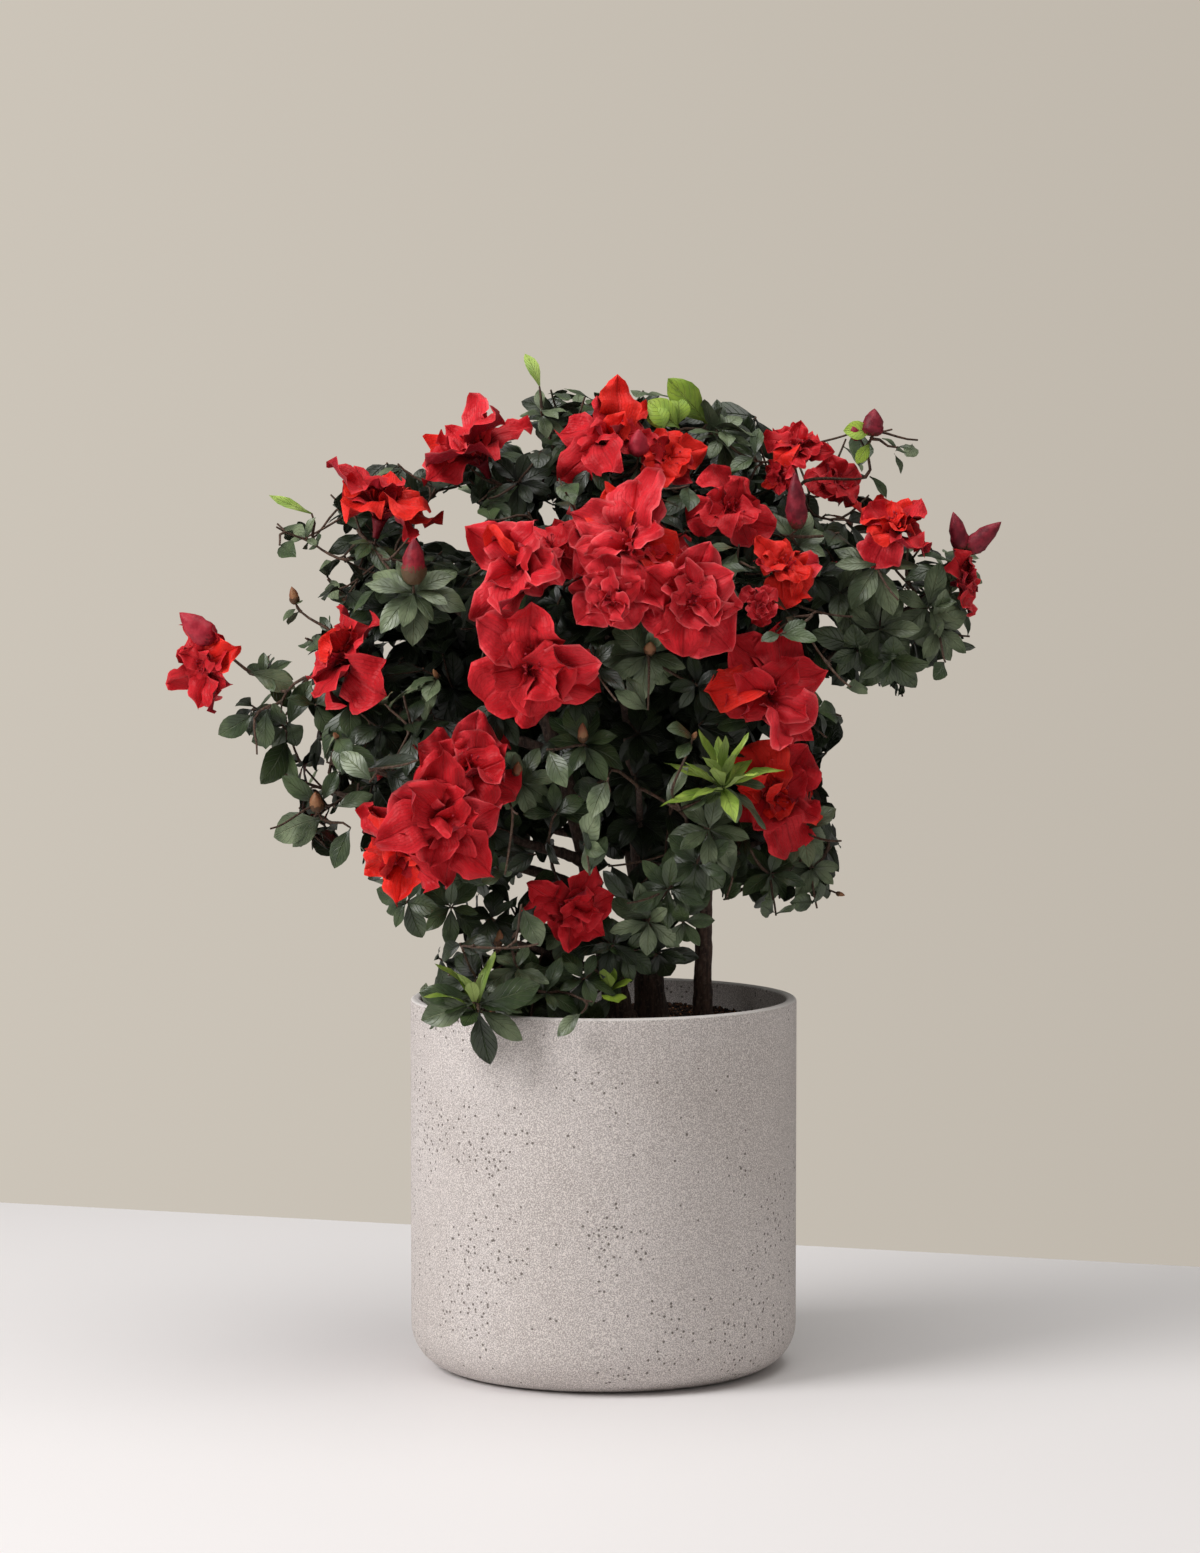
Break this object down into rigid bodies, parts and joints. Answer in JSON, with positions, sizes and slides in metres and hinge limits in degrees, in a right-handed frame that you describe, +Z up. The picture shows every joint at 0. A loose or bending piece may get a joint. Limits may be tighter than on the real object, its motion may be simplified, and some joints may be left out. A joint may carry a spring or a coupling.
{
  "type": "potted azalea shrub",
  "caption": "Red-flowering azalea shrub with several stems and a wide leafy crown, growing in a round cast-stone planter.",
  "frame": {"origin": "centre of the planter's flat underside, on the surface that it stands on", "axes": "+Z up along the planter's axis, +X to the right and -Y towards the viewer of the picture"},
  "size_m": [0.5462, 0.3656, 0.6645],
  "materials": {
    "planter": "matte",
    "soil": "matte",
    "bark": "matte",
    "foliage": "satin",
    "blossom": "satin"
  },
  "bodies": {
    "root": {"planter": "planter", "soil": "soil", "stem_left": "bark", "stem_middle": "bark", "stem_right": "bark", "stem_back": "bark", "bough_front_bouquet": "bark", "bough_front_left_low": "bark", "bough_crown_top": "bark", "bough_crown_right": "bark", "bough_left_high": "bark", "bough_left_mid": "bark", "bough_left_low": "bark", "bough_right_far": "bark", "bough_front_right": "bark", "bough_right_low": "bark", "bough_front_centre": "bark", "bough_low_left": "bark", "bough_back_top": "bark", "bough_back_left": "bark", "bough_back_right": "bark", "bough_back_centre": "bark", "bough_back_left_low": "bark", "bough_back_right_low": "bark", "foliage_front_bouquet": "foliage", "foliage_front_left_low": "foliage", "foliage_crown_top": "foliage", "foliage_crown_right": "foliage", "foliage_left_high": "foliage", "foliage_left_mid": "foliage", "foliage_left_low": "foliage", "foliage_right_far": "foliage", "foliage_front_right": "foliage", "foliage_right_low": "foliage", "foliage_front_centre": "foliage", "foliage_low_left": "foliage", "foliage_back_top": "foliage", "foliage_back_left": "foliage", "foliage_back_right": "foliage", "foliage_back_centre": "foliage", "foliage_back_left_low": "foliage", "foliage_back_right_low": "foliage"}
  },
  "joints": []
}
